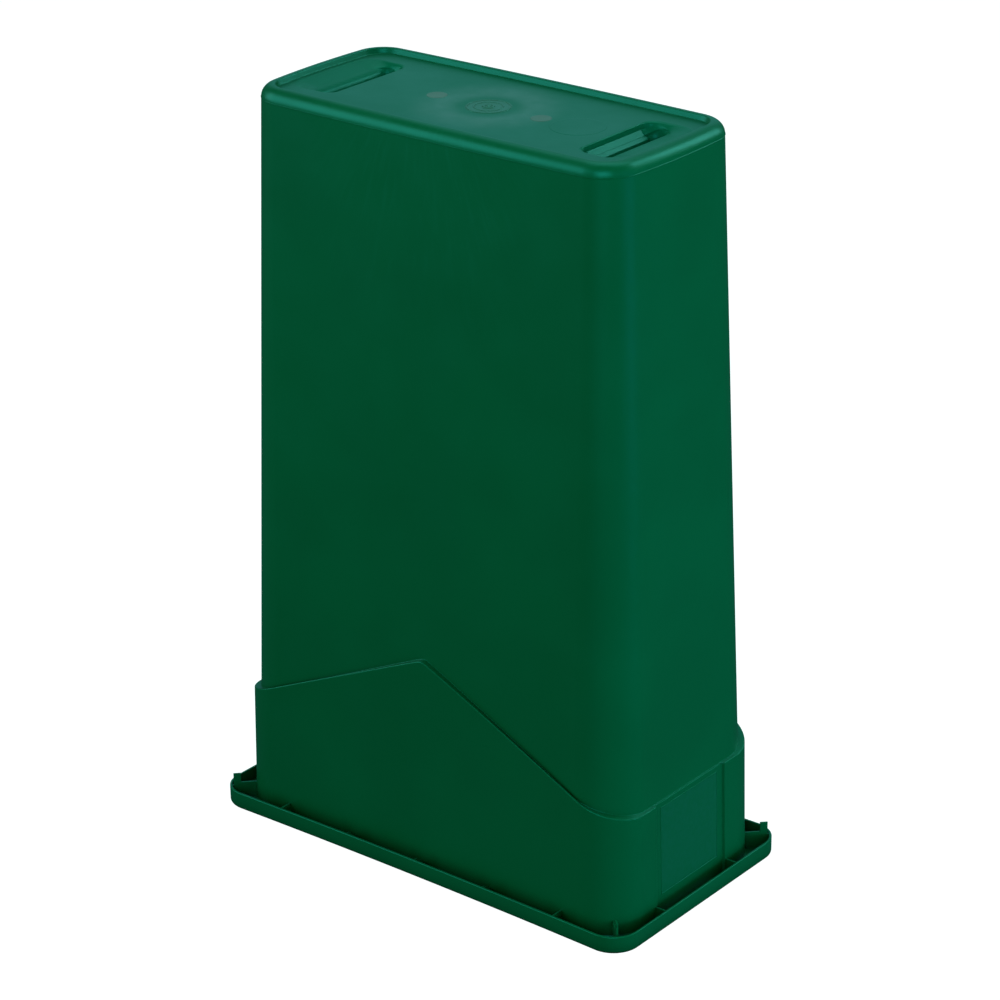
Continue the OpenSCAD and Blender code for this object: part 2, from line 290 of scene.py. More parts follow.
def make_object(name, verts, faces, sharp_angle=40):
    """A smooth-shaded object from points in millimetres."""
    mesh = bpy.data.meshes.new(name)
    mesh.from_pydata([[c * MM for c in v] for v in verts], [], faces)
    mesh.validate()
    mesh.update()
    mesh.polygons.foreach_set("use_smooth", [True] * len(mesh.polygons))
    mesh.set_sharp_from_angle(angle=math.radians(sharp_angle))
    piece = bpy.data.objects.new(name, mesh)
    bpy.context.scene.collection.objects.link(piece)
    weigh = piece.modifiers.new("even_normals", "WEIGHTED_NORMAL")
    weigh.keep_sharp = True
    return piece


def ring_skin(name, section, sharp_angle=40):
    """A closed ring swept round the outline: section(station) gives each station's closed loop."""
    loops = [section(station) for station in RING]
    n = len(loops)
    m = len(loops[0])
    verts = [p for loop in loops for p in loop]
    faces = []
    for i in range(n):
        a = i * m
        b = (i + 1) % n * m
        for j in range(m):
            k = (j + 1) % m
            faces.append((a + j, b + j, b + k, a + k))
    return make_object(name, verts, faces, sharp_angle)


def arc(count):
    """A quarter turn as count equal steps, in angles from 0 to 90 degrees."""
    return [math.pi / 2 * i / count for i in range(count + 1)]


def bend_up(station, plan, z, run, rise, count):
    """A quarter bend that starts level and ends upright. A positive run goes inwards."""
    bend = [(run * math.sin(a), rise * (1 - math.cos(a))) for a in arc(count)]
    return [at(station, plan.inset(across), z + up) for across, up in bend]


def bend_in(station, plan, z, run, rise, count):
    """A quarter bend that starts upright and ends level. A positive run goes inwards."""
    bend = [(run * (1 - math.cos(a)), rise * math.sin(a)) for a in arc(count)]
    return [at(station, plan.inset(across), z + up) for across, up in bend]


def levels(low, high, parts):
    """Heights at some parts of the way from low to high."""
    return [low + (high - low) * part for part in parts]


# ---------------------------------------------------------------- rim

def rim_section(station):
    """Deck, rounded lower edge, skirt with a rounded lip, and the fillet back to the deck."""
    rim = rim_plan()
    mouth = collar_plan(0).inset(recess(station) + WALL)
    inner = rim.inset(SKIRT_WALL)
    softened = 0.5
    row_gap = 6
    fillet_gap = 3
    loop = [at(station, mouth, softened), at(station, mouth.inset(-softened), 0)]
    loop += [at(station, rim.inset(RIM_EDGE + row_gap), 0)]
    loop += bend_up(station, rim.inset(RIM_EDGE), 0, -RIM_EDGE, RIM_EDGE, 8)
    loop += [at(station, rim, z) for z in SKIRT_LEVELS]
    loop += bend_in(station, rim, SKIRT_TOP - SKIRT_LIP, SKIRT_LIP, SKIRT_LIP, 4)
    for out, drop in ((0.4, 0.0), (0.1, 0.15), (0.0, 0.5)):
        loop.append(at(station, inner.inset(-out), SKIRT_TOP - drop))
    loop += [at(station, inner, DECK + row_gap)]
    loop += bend_in(station, inner, DECK + RIM_FILLET, RIM_FILLET, -RIM_FILLET, 5)
    return loop + [at(station, inner.inset(RIM_FILLET + fillet_gap), DECK), at(station, mouth, DECK)]


def build_rim():
    rim = ring_skin("rim_flange", rim_section)
    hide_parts("rim_deck", "rim_skirt")
    return rim


# ---------------------------------------------------------------- tub: collar, ledge, walls and foot ring

# The parting line's thin ridge, as [height from FOOT_Z, how far out], and where the wall below it ends
RIDGE_GAP = 0.7
PARTING_RIDGE = ((-0.55, 0.06), (-0.25, 0.24), (0.0, 0.34), (0.15, 0.3), (0.42, 0.0))


def collar_side(station):
    """The collar's face at a station, from the deck up to the ledge's rounded edge."""
    r = recess(station)
    foot = collar_plan(DECK).inset(r - COLLAR_FILLET)
    points = [at(station, foot, DECK - SUNK)]
    points += bend_up(station, foot, DECK, COLLAR_FILLET, COLLAR_FILLET, 5)
    low = DECK + COLLAR_FILLET
    high = ledge_z(station) - LEDGE_EDGE
    for z in levels(low, high, (0.06, 0.2, 0.35, 0.5, 0.65, 0.8, 0.92, 0.98, 1.0)):
        points.append(at(station, collar_plan(z).inset(r), z))
    return points


def ledge_side(station):
    """The ledge at a station: a rounded edge, then a small hollow at the wall's foot."""
    top = ledge_z(station)
    r = recess(station)
    low = top - LEDGE_EDGE
    edge = min(LEDGE_EDGE, (LEDGE_WIDTH - r) / 2)
    points = bend_in(station, collar_plan(low).inset(r), low, edge, LEDGE_EDGE, 4)[1:]
    shelf = top + LEDGE_RISE - LEDGE_HOLLOW
    hollow = wall_plan(top).inset(-LEDGE_HOLLOW)
    return points + bend_up(station, hollow, shelf, LEDGE_HOLLOW, LEDGE_HOLLOW, 3)


def wall_side(station):
    """The wall's face at a station, from the ledge up to the thin ridge of the parting line."""
    low = ledge_z(station) + LEDGE_RISE
    high = FOOT_Z - RIDGE_GAP
    even = [i / 22 for i in range(1, 22)]
    points = []
    for z in levels(low, high, [0.002, 0.006] + even + [0.997, 1.0]):
        points.append(at(station, wall_plan(z), z))
    for rise, out in PARTING_RIDGE:
        z = FOOT_Z + rise
        points.append(at(station, wall_plan(z).inset(-out), z))
    return points


def foot_side(station):
    """The foot ring at a station: a big rounding, a narrow crest and the fall to the base panel."""
    foot = wall_plan(FOOT_Z)
    drop = CREST_Z - BASE_Z
    crest = [(0.0, 0.0), (0.35, 0.12), (0.7, 0.45), (1.0, 0.95)]
    fall = [(2.3, drop - 0.8), (2.6, drop - 0.3), (3.0, drop), (3.3, drop)]
    points = bend_in(station, foot, FOOT_Z, FOOT_ROUND, FOOT_ROUND, 18)[1:]
    for run, down in crest + fall:
        points.append(at(station, foot.inset(FOOT_ROUND + CREST_LAND + run), CREST_Z - down))
    return points


def inner_side(station):
    """The inside of the tub at a station, from the base panel down to the mouth."""
    top = ledge_z(station)
    r = recess(station)
    foot = wall_plan(FOOT_Z)
    under = BASE_Z - WALL
    foot_round = FOOT_ROUND - WALL
    step_round = 0.8
    step_drop = 1.2
    collar_drop = LEDGE_EDGE + 3
    points = [at(station, foot.inset(PANEL_INSET), under)]
    points += bend_up(station, foot.inset(FOOT_ROUND), under, -foot_round, -foot_round, 8)
    for z in levels(under - foot_round, top, (0.01, 0.25, 0.5, 0.75, 0.99)):
        points.append(at(station, wall_plan(z).inset(WALL), z))
    points += bend_up(station, wall_plan(top).inset(WALL), top - step_drop, -step_round, -step_round, 4)
    for z in levels(top - collar_drop, DECK - SUNK, (0.0, 0.05, 0.5, 0.95, 1.0)):
        points.append(at(station, collar_plan(z).inset(r + WALL), z))
    return points


def tub_section(station):
    """The tub's closed loop at a station, up the outside and down the inside."""
    outside = collar_side(station) + ledge_side(station) + wall_side(station) + foot_side(station)
    return outside + inner_side(station)


def build_tub():
    tub = ring_skin("tub_shell", tub_section)
    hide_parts("front_collar", "rear_collar", "collar_corners", "left_end_panel", "right_end_panel",
                "ledge", "front_wall", "rear_wall", "left_end_wall", "right_end_wall", "corner_walls",
                "foot_ring")
    return tub


# ---------------------------------------------------------------- base panel and grip pockets

POCKET_INNER = POCKET[0][0]
POCKET_OUTER = POCKET[1][0] + 11.0
POCKET_HALF = POCKET[1][1] + 2.0
POCKET_DEPTH = BASE_Z - POCKET[0][2] - WALL
INNER_CORNER = 12.0
OUTER_CORNER = 20.0
STEP_END = 45.6
STEP_BLEND = 0.5
OUTER_SWEEP = 30.5
OUTER_DROP = 12.0
OUTER_SLOPE = 0.21
OUTER_STRAIGHT = 22.0
POCKET_LIP = 1.2
END_ROUND = 6.0


def straight(start, end, depth, steps=9):
    """Points from start to end, both [x, y], at one depth."""
    parts = [i / steps for i in range(steps + 1)]
    return [(start[0] + (end[0] - start[0]) * t, start[1] + (end[1] - start[1]) * t, depth) for t in parts]


def quarter(cx, cy, radius, start, depths, steps=14):
    """Points round a quarter circle without its ends, easing from the first depth to the second."""
    points = []
    for i in range(1, steps):
        angle = start + math.pi / 2 * i / steps
        depth = depths[0] + (depths[1] - depths[0]) * smoothstep(i / steps)
        points.append((cx + radius * math.cos(angle), cy + radius * math.sin(angle), depth))
    return points


def stepped_side(inner, soft, reach):
    """The inner side of one loop. Its steps stop short of both ends, where the profile is softer."""
    half = [1.0, 0.996, 0.992, 0.988, 0.984, 0.98, 0.97, 0.9, 0.75, 0.5, 0.25, 0.0]
    points = []
    for t in half + [-t for t in reversed(half[:-1])]:
        stepped = smoothstep((STEP_END - abs(t) * (POCKET_HALF - INNER_CORNER)) / STEP_BLEND)
        inset = soft[0] + (inner[0] - soft[0]) * stepped
        depth = soft[1] + (inner[1] - soft[1]) * stepped
        points.append((POCKET_INNER + inset, reach * t, depth))
    return points


def slot_loop(inner, end, outer, side, soft=None):
    """One loop of a pocket. Inner, end, outer and soft are each an inset from the mouth and a depth."""
    soft = soft or inner
    spare = 0.4
    low_x = POCKET_INNER + inner[0]
    high_x = POCKET_OUTER - outer[0]
    half = POCKET_HALF - end[0]
    in_corner = min(INNER_CORNER, (high_x - low_x) / 2 - spare)
    out_corner = min(OUTER_CORNER, high_x - low_x - in_corner - spare)
    in_x = low_x + in_corner
    in_y = half - in_corner
    out_x = high_x - out_corner
    out_y = half - out_corner
    loop = straight((high_x, -out_y), (high_x, out_y), outer[1])
    loop += quarter(out_x, out_y, out_corner, 0.0, (outer[1], end[1]))
    loop += straight((out_x, half), (in_x, half), end[1])
    loop += quarter(in_x, in_y, in_corner, math.pi / 2, (end[1], soft[1]))
    loop += stepped_side(inner, soft, in_y)
    loop += quarter(in_x, -in_y, in_corner, math.pi, (soft[1], end[1]))
    loop += straight((in_x, -half), (out_x, -half), end[1])
    loop += quarter(out_x, -out_y, out_corner, 1.5 * math.pi, (end[1], outer[1]))
    return [(side * x, y, BASE_Z - depth) for x, y, depth in loop]


def mouth_loop(side):
    """The edge of a pocket's mouth, level with the base panel."""
    flat = (0.0, 0.0)
    return slot_loop(flat, flat, flat, side)


def inside(point, loop):
    """Whether a point is inside a loop, by counting crossings."""
    crossings = 0
    for a, b in zip(loop, loop[1:] + loop[:1]):
        if (a[1] > point[1]) != (b[1] > point[1]):
            crossings += a[0] + (point[1] - a[1]) * (b[0] - a[0]) / (b[1] - a[1]) > point[0]
    return crossings % 2 == 1


def panel_faces(triangles, n):
    """Faces of a plate: the triangles above, the same below, and walls along every open edge."""
    faces = [tuple(t) for t in triangles]
    faces += [tuple(n + i for i in reversed(t)) for t in triangles]
    sides = [(t[i], t[(i + 1) % 3]) for t in triangles for i in range(3)]
    known = set(sides)
    faces += [(b, a, n + a, n + b) for a, b in sides if (b, a) not in known]
    return faces


def build_panel():
    """The flat plate inside the foot ring, with the two mouths of the pockets cut through it."""
    rim = [at(station, wall_plan(FOOT_Z).inset(PANEL_INSET), 0) for station in RING]
    mouths = [mouth_loop(1), mouth_loop(-1)]
    coords = []
    edges = []
    for loop in [rim] + mouths:
        start = len(coords)
        n = len(loop)
        coords += [Vector(p[:2]) for p in loop]
        edges += [(start + i, start + (i + 1) % n) for i in range(n)]
    points, _, triangles, *_ = delaunay_2d_cdt(coords, edges, [], 1, 1e-5)
    kept = []
    for t in triangles:
        middle = sum((points[i] for i in t), Vector((0, 0))) / 3
        if not any(inside(middle, mouth) for mouth in mouths):
            kept.append(t)
    verts = [(p.x, p.y, BASE_Z) for p in points] + [(p.x, p.y, BASE_Z - WALL) for p in points]
    panel = make_object("base_panel", verts, panel_faces(kept, len(points)), 30)
    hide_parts("base_panel")
    return panel


def lip_profile(radius):
    """A rounded lip at the mouth, as [inset, depth]. The pocket's other profiles have the same form."""
    return [(radius * math.sin(a), radius * (1 - math.cos(a))) for a in arc(4)]


def stepped_profile():
    """The inner side with its two sloping steps, from the mouth to the floor."""
    drop = [(1.35, 3.5), (1.5, 5.6)]
    steps = [(3.7, 7.8), (5.9, 9.9), (6.1, 10.2), (6.25, 10.7), (7.5, 12.0), (8.8, 13.3), (9.0, 13.8)]
    well = [(9.3, 19.0), (9.8, 26.0), (10.8, POCKET_DEPTH - 1.0), (13.4, POCKET_DEPTH)]
    return lip_profile(POCKET_LIP) + drop + steps + well


def soft_profile():
    """The inner side beyond the ends of its steps."""
    fall = [(1.4, 3.6), (1.7, 5.8), (2.1, 7.8), (2.6, 9.6), (3.0, 10.8), (3.4, 12.0), (4.0, 13.4)]
    slope = [(4.7, 14.8), (5.5, 16.2)]
    well = [(7.0, 20.0), (8.6, 26.0), (10.2, POCKET_DEPTH - 1.0), (13.4, POCKET_DEPTH)]
    return lip_profile(POCKET_LIP) + fall + slope + well


def outer_profile():
    """The outer side: a broad soft rounding that falls away to the well."""
    brow = OUTER_SLOPE * OUTER_STRAIGHT
    knee = OUTER_SWEEP - OUTER_STRAIGHT
    fall = OUTER_DROP - brow
    sweep = [(0.0, 0.0), (1.0, 0.12), (3.0, 0.5)]
    sweep += [(run, OUTER_SLOPE * run) for run in (7.0, 11.0, 15.0, 19.0, OUTER_STRAIGHT)]
    sweep += [(OUTER_STRAIGHT + knee * math.sin(a), brow + fall * (1 - math.cos(a))) for a in arc(6)[1:]]
    return sweep + [(30.7, 18.0), (31.0, 26.0), (31.9, POCKET_DEPTH - 1.0), (34.3, POCKET_DEPTH)]


def end_profile():
    """The two ends, softly rounded."""
    soft = [(END_ROUND * math.sin(a), END_ROUND * (1 - math.cos(a))) for a in arc(9)]
    fall = [(6.3, 8.0), (6.6, 9.8), (6.9, 11.2), (7.3, 12.6)]
    return soft + fall + [(8.2, 18.5), (9.4, 26.0), (10.8, POCKET_DEPTH - 1.0), (14.0, POCKET_DEPTH)]


def under_loops(side):
    """The outside of a pocket, from below its floor back up to the base panel."""
    floor = [(10.5, 10.0, 31.5, POCKET_DEPTH + WALL), (8.0, 7.4, 29.0, POCKET_DEPTH + WALL * 0.6)]
    well = [(6.6, 5.8, 27.6, 26.0), (6.0, 5.0, 27.0, 20.0)]
    brow = [(4.0, 4.2, 24.0, 18.6), (0.3, 2.4, 16.0, 14.0), (0.1, 0.4, 5.0, 7.5), (0.0, 0.0, 0.0, WALL)]
    loops = []
    for inner, end, outer, depth in floor + well + brow:
        loops.append(slot_loop((inner, depth), (end, depth), (outer, depth), side))
    return loops


def build_pocket(name, side):
    """A grip pocket as a closed shell: its inside from the mouth to the floor, then its outside."""
    profiles = zip(stepped_profile(), end_profile(), outer_profile(), soft_profile())
    inner = [slot_loop(steps, end, outer, side, soft) for steps, end, outer, soft in profiles]
    loops = inner + under_loops(side)
    m = len(loops[0])
    verts = [p for loop in loops for p in loop]
    floor_in = len(inner) - 1
    floor_out = len(inner)
    faces = []
    for i in range(len(loops)):
        if i == floor_in:
            continue
        a = i * m
        b = (i + 1) % len(loops) * m
        for j in range(m):
            k = (j + 1) % m
            faces.append((a + j, a + k, b + k, b + j))
    faces.append(tuple(floor_in * m + j for j in range(m)))
    faces.append(tuple(floor_out * m + j for j in reversed(range(m))))
    if side < 0:
        faces = [tuple(reversed(face)) for face in faces]
    pocket = make_object(name, verts, faces, 35)
    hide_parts(name)
    return pocket


# ---------------------------------------------------------------- ribs and gussets

def shrink(outline, amount):
    """A counter-clockwise outline moved inwards by an amount, with mitred corners."""
    n = len(outline)
    moved = []
    for i in range(n):
        a = Vector(outline[i - 1])
        b = Vector(outline[i])
        c = Vector(outline[(i + 1) % n])
        before = (b - a).normalized()
        after = (c - b).normalized()
        normal = Vector((-before.y, before.x))
        mitre = normal + Vector((-after.y, after.x))
        mitre = mitre / max(mitre.dot(normal), 0.2)
        moved.append(b + mitre * amount)
    return moved


def prism(outline, thickness, place):
    """A plate with softened long edges: outline in its own plane, placed by a function of (u, v, w)."""
    soft = 0.25
    half = thickness / 2
    n = len(outline)
    layers = [(-half, soft), (-half + soft, 0.0), (half - soft, 0.0), (half, soft)]
    verts = []
    for w, amount in layers:
        verts += [place(p[0], p[1], w) for p in shrink(outline, amount)]
    faces = []
    last = (len(layers) - 1) * n
    for a in range(0, last, n):
        b = a + n
        for j in range(n):
            k = (j + 1) % n
            faces.append((a + j, a + k, b + k, b + j))
    faces.append(tuple(reversed(range(n))))
    faces.append(tuple(last + j for j in range(n)))
    return verts, faces


def merge(parts):
    """Several parts, each verts and faces, as one."""
    verts = []
    faces = []
    for part_verts, part_faces in parts:
        start = len(verts)
        verts += part_verts
        faces += [tuple(start + i for i in face) for face in part_faces]
    return verts, faces


def face_y(x, plan):
    """How far out a long side of an outline is, at a distance x from its middle."""
    half = plan.length / 2 - plan.corner
    turn = lean(plan.side_crown, half)
    if abs(turn) < NEARLY_FLAT:
        return plan.width / 2
    big = half / math.sin(turn) + plan.corner
    return plan.width / 2 + plan.side_crown - big * (1 - math.cos(math.asin(x / big)))


def rib_outline(start, end, start_top):
    """A rib's outline: flat at the skirt, and sloping down to start_top at the collar."""
    low = DECK - SUNK
    near = start - RIB_SUNK
    far = end + RIB_SUNK
    return [(near, low), (far, low), (far, RIB_TOP), (end - RIB_LAND, RIB_TOP), (near, start_top)]


def build_ribs():
    parts = []
    for turn in (1, -1):
        for i in range(-2, 3):
            x = i * RIB_PITCH
            start = face_y(x, collar_plan(DECK))
            end = face_y(x, rim_plan().inset(SKIRT_WALL))
            outline = rib_outline(start, end, RIB_TOP if abs(i) == 2 else RIB_HEEL)
            parts.append(prism(outline, RIB_WALL, lambda u, v, w, x=x, t=turn: (t * (x - w), t * u, v)))
        for y in (-END_RIB, END_RIB):
            outline = rib_outline(collar_plan(RIB_TOP).length / 2, RIM_LENGTH / 2 - SKIRT_WALL, RIB_TOP)
            parts.append(prism(outline, RIB_WALL, lambda u, v, w, y=y, t=turn: (t * u, t * (y + w), v)))
    ribs = make_object("trough_ribs", *merge(parts), 50)
    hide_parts("trough_ribs")
    return ribs


def gusset_start(z):
    """Distance out along a diagonal from the rim corner's centre to the collar's corner arc."""
    plan = collar_plan(z)
    lag_x = RIM_LENGTH / 2 - RIM_CORNER - (plan.length / 2 - COLLAR_CORNER)
    lag_y = RIM_WIDTH / 2 - RIM_CORNER - (plan.width / 2 - COLLAR_CORNER)
    skew = (lag_y - lag_x) / math.sqrt(2)
    return math.sqrt(COLLAR_CORNER ** 2 - skew ** 2) - (lag_x + lag_y) / math.sqrt(2)


def gusset_outline():
    """A gusset's outline along its diagonal: a web across the trough, with a tab that stands up from it."""
    skirt = RIM_CORNER - SKIRT_WALL
    low = DECK - SUNK
    near = gusset_start(GUSSET_TOP) - RIB_SUNK
    far = skirt + GUSSET_SUNK
    tab_out = skirt - TAB_GAP
    tab_in = tab_out - TAB_WIDTH
    return [(near, low), (far, low), (far, RIB_TOP), (tab_out, RIB_TOP),
            (tab_out, TAB_TOP), (tab_in, TAB_TOP), (tab_in, GUSSET_TOP), (near, GUSSET_TOP)]


def build_gussets():
    parts = []
    for sx in (-1, 1):
        for sy in (-1, 1):
            cx = sx * (RIM_LENGTH / 2 - RIM_CORNER)
            cy = sy * (RIM_WIDTH / 2 - RIM_CORNER)
            angle = math.atan2(sy, sx)
            c = math.cos(angle)
            s = math.sin(angle)

            def place(u, v, w, cx=cx, cy=cy, c=c, s=s):
                return cx + u * c + w * s, cy + u * s - w * c, v

            parts.append(prism(gusset_outline(), RIB_WALL, place))
    gussets = make_object("corner_gussets", *merge(parts), 50)
    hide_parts("corner_gussets")
    return gussets


# ---------------------------------------------------------------- small marks on the base and end panels

MARK_ROOT = BASE_Z - 0.6
GATE_LINE = 1.6
GATE_RINGS = ((20.3, 0.6), (13.4, 0.55))
PAD_HEIGHT = 0.22
DISC_HEIGHT = 0.16
FRAME_LINE = 0.9
FRAME_RISE = 0.28


def lathe(profile, x, count=96):
    """A closed solid turned about a vertical line at x: profile is [radius, height], out and back."""
    verts = []
    rings = []
    turns = [2 * math.pi * i / count for i in range(count)]
    for r, z in profile:
        if r == 0:
            rings.append([len(verts)])
            verts.append((x, 0, z))
        else:
            rings.append(list(range(len(verts), len(verts) + count)))
            verts += [(x + r * math.cos(a), r * math.sin(a), z) for a in turns]
    faces = []
    for low, high in zip(rings, rings[1:] + rings[:1]):
        if len(low) == 1 and len(high) == 1:
            continue
        for i in range(count):
            j = (i + 1) % count
            if len(low) == 1:
                faces.append((low[0], high[i], high[j]))
            elif len(high) == 1:
                faces.append((low[i], high[0], low[j]))
            else:
                faces.append((low[i], high[i], high[j], low[j]))
    return verts, faces


def ring_bump(radius, width, height):
    """The profile of a rounded ring standing on the base panel."""
    half = width / 2
    foot = BASE_Z - 0.05
    angles = [math.pi * i / 10 for i in range(10, -1, -1)]
    top = [(radius + half * math.cos(a), foot + height * math.sin(a)) for a in angles]
    return top + [(radius + half, MARK_ROOT), (radius - half, MARK_ROOT)]


def disc_bump(radius, height, edge):
    """The profile of a low disc with a softened edge, standing on the base panel."""
    top = BASE_Z + height
    return [(0, MARK_ROOT), (0, top), (radius - 2 * edge, top),
            (radius - edge, BASE_Z + height * 0.93), (radius - edge * 0.3, BASE_Z + height * 0.6),
            (radius, BASE_Z - 0.02), (radius, MARK_ROOT)]


def build_gate():
    """Two rings round a nib with a shallow moat, where the plastic enters the mould."""
    top = [(0, 1.1), (1.6, 1.0), (2.2, 0.3), (3.6, 0.25), (4.2, 0.9), (5.4, 0.9), (6.2, 0.1)]
    nib = [(0, MARK_ROOT)] + [(r, BASE_Z + h) for r, h in top] + [(6.2, MARK_ROOT)]
    parts = [lathe(ring_bump(radius, GATE_LINE, height), 0) for radius, height in GATE_RINGS]
    parts.append(lathe(nib, 0))
    gate = make_object("gate_rings", *merge(parts), 60)
    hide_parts("gate_boss")
    return gate


def build_pads():
    high = box_mm("ejector_pads")[1]
    radius = size_mm("ejector_pads", 1) / 2
    x = high[0] - radius
    parts = [lathe(disc_bump(radius, PAD_HEIGHT, 0.3), side * x) for side in (-1, 1)]
    pads = make_object("ejector_pads", *merge(parts), 60)
    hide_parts("ejector_pads")
    return pads


def build_disc():
    low, high = box_mm("blank_disc")
    x = (low[0] + high[0]) / 2
    radius = (high[0] - low[0]) / 2
    disc = make_object("blank_disc", *lathe(disc_bump(radius, DISC_HEIGHT, 0.6), x), 60)
    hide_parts("blank_disc")
    return disc


def frame_bar(y0, z0, y1, z1, side):
    """A low ridge from one point of an end panel to another."""
    section = ((-1, -0.3), (-1, 0.05), (-0.55, FRAME_RISE), (0.55, FRAME_RISE), (1, 0.05), (1, -0.3))
    n = len(section)
    along = Vector((y1 - y0, z1 - z0)).normalized()
    across = Vector((-along.y, along.x)) * FRAME_LINE / 2
    start = Vector((y0, z0)) - along * FRAME_LINE / 2
    end = Vector((y1, z1)) + along * FRAME_LINE / 2
    verts = []
    for middle in (start, end):
        for k, out in section:
            p = middle + across * k
            face_x = collar_plan(p.y).length / 2 - PANEL_DEPTH
            verts.append((side * (face_x + out), side * p.x, p.y))
    faces = [(j, (j + 1) % n, n + (j + 1) % n, n + j) for j in range(n)]
    faces += [tuple(reversed(range(n))), tuple(range(n, 2 * n))]
    return verts, faces


def build_frames():
    """A thin raised outline on each end panel, with nothing inside it."""
    low, high = box_mm("label_frames")
    half = high[1]
    parts = []
    for side in (-1, 1):
        parts.append(frame_bar(-half, low[2], half, low[2], side))
        parts.append(frame_bar(half, low[2], half, high[2], side))
        parts.append(frame_bar(half, high[2], -half, high[2], side))
        parts.append(frame_bar(-half, high[2], -half, low[2], side))
    frames = make_object("label_frames", *merge(parts), 60)
    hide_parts("label_frames")
    return frames


# ---------------------------------------------------------------- materials

class Nodes:
    """Short calls for building a material's node tree."""

    def __init__(self, name):
        self.material = bpy.data.materials.new(name)
        self.material.use_nodes = True
        self.tree = self.material.node_tree
        self.shader = self.tree.nodes["Principled BSDF"]
        coords = self.tree.nodes.new("ShaderNodeTexCoord")
        self.place = coords.outputs["Object"]

    def link(self, source, target):
        self.tree.links.new(source, target)

    def axes(self):
        """The model's own X, Y and Z, in metres."""
        split = self.add("ShaderNodeSeparateXYZ")
        self.link(self.place, split.inputs[0])
        return split.outputs["X"], split.outputs["Y"], split.outputs["Z"]

    def add(self, kind, **values):
        node = self.tree.nodes.new(kind)
        for key, value in values.items():
            setattr(node, key, value)
        return node

    def noise(self, vector, scale, detail=3.0, rough=0.55):
        node = self.add("ShaderNodeTexNoise")
        node.inputs["Scale"].default_value = scale
        node.inputs["Detail"].default_value = detail
        node.inputs["Roughness"].default_value = rough
        self.link(vector, node.inputs["Vector"])
        return node.outputs["Fac"]

    def remap(self, value, low, high, to_low, to_high, smooth=False):
        node = self.add("ShaderNodeMapRange")
        node.interpolation_type = "SMOOTHSTEP" if smooth else "LINEAR"
        ends = {"From Min": low, "From Max": high, "To Min": to_low, "To Max": to_high}
        for key, number in ends.items():
            node.inputs[key].default_value = number
        self.link(value, node.inputs["Value"])
        return node.outputs["Result"]

    def math(self, kind, a, b=None):
        node = self.add("ShaderNodeMath", operation=kind)
        for socket, value in zip(node.inputs, (a, b)):
            if value is None:
                continue
            if isinstance(value, (int, float)):
                socket.default_value = value
            else:
                self.link(value, socket)
        return node.outputs["Value"]

    def product(self, first, *others):
        for other in others:
            first = self.math("MULTIPLY", first, other)
        return first

    def mix(self, factor, colour_a, colour_b):
        node = self.add("ShaderNodeMix", data_type="RGBA")
        if isinstance(factor, (int, float)):
            node.inputs[0].default_value = factor
        else:
            self.link(factor, node.inputs[0])
        for socket, value in ((node.inputs[6], colour_a), (node.inputs[7], colour_b)):
            if isinstance(value, tuple):
                socket.default_value = (*value, 1.0)
            else:
                self.link(value, socket)
        return node.outputs[2]

    def base_colour(self):
        """The output that gives the base colour so far."""
        return self.shader.inputs["Base Color"].links[0].from_socket

    def tint(self, factor, colour):
        """Mixes a colour over the base colour so far."""
        self.link(self.mix(factor, self.base_colour(), colour), self.shader.inputs["Base Color"])

    def bump(self, height, strength, distance, normal=None):
        node = self.add("ShaderNodeBump")
        node.inputs["Strength"].default_value = strength
        node.inputs["Distance"].default_value = distance
        self.link(height, node.inputs["Height"])
        if normal is not None:
            self.link(normal, node.inputs["Normal"])
        return node.outputs["Normal"]


# Colours, as linear red, green and blue
GREEN = (0.0, 0.084, 0.0245)
GREEN_DEEP = (0.0, 0.077, 0.022)
GREEN_PALE = (0.006, 0.108, 0.048)
# Paler greens for the grip pockets: painted light on their walls, which the lamps leave in shade
POCKET_GREEN_PAINTED_LIGHT = (0.0, 0.110, 0.048)
POCKET_DEEP_PAINTED_LIGHT = (0.0, 0.100, 0.043)
PAD_GREEN = (0.19, 0.150, 0.122)
PAD_DEEP = (0.17, 0.142, 0.115)
# A slightly paler, bluer tone for the base panel, away from the gate
BASE_OUTER_TONE = (0.004, 0.090, 0.038)
# Painted shade: a near-black green mixed into the colour in crevices and deep corners
PAINTED_CREVICE_SHADE = (0.0, 0.026, 0.003)
PLATE = (0.012, 0.095, 0.050)
BLOOM = (0.090, 0.130, 0.092)
SHEEN = (0.12, 0.95, 0.88)

# Where the tub's marks lie, in metres. The streaks fan out from a point FAN_HEIGHT above the base.
FAN_HEIGHT = 0.12
STREAK_FADE = (0.16, 0.36)
STREAK_SPREAD = (0.05, 0.17)
PLATE_SIDE = (0.0450, 0.0458)
PLATE_OUT = (0.2340, 0.2345)
PLATE_LOW = (0.0242, 0.0248)
PLATE_HIGH = (0.1160, 0.1168)

# Distances from the gate at which the base's marks come and go, in metres
GATE_EDGE = (0.0205, 0.0225)
BLOOM_START = (0.024, 0.040)
BLOOM_END = (0.042, 0.080)
OUTER_TONE_START = (0.030, 0.050)


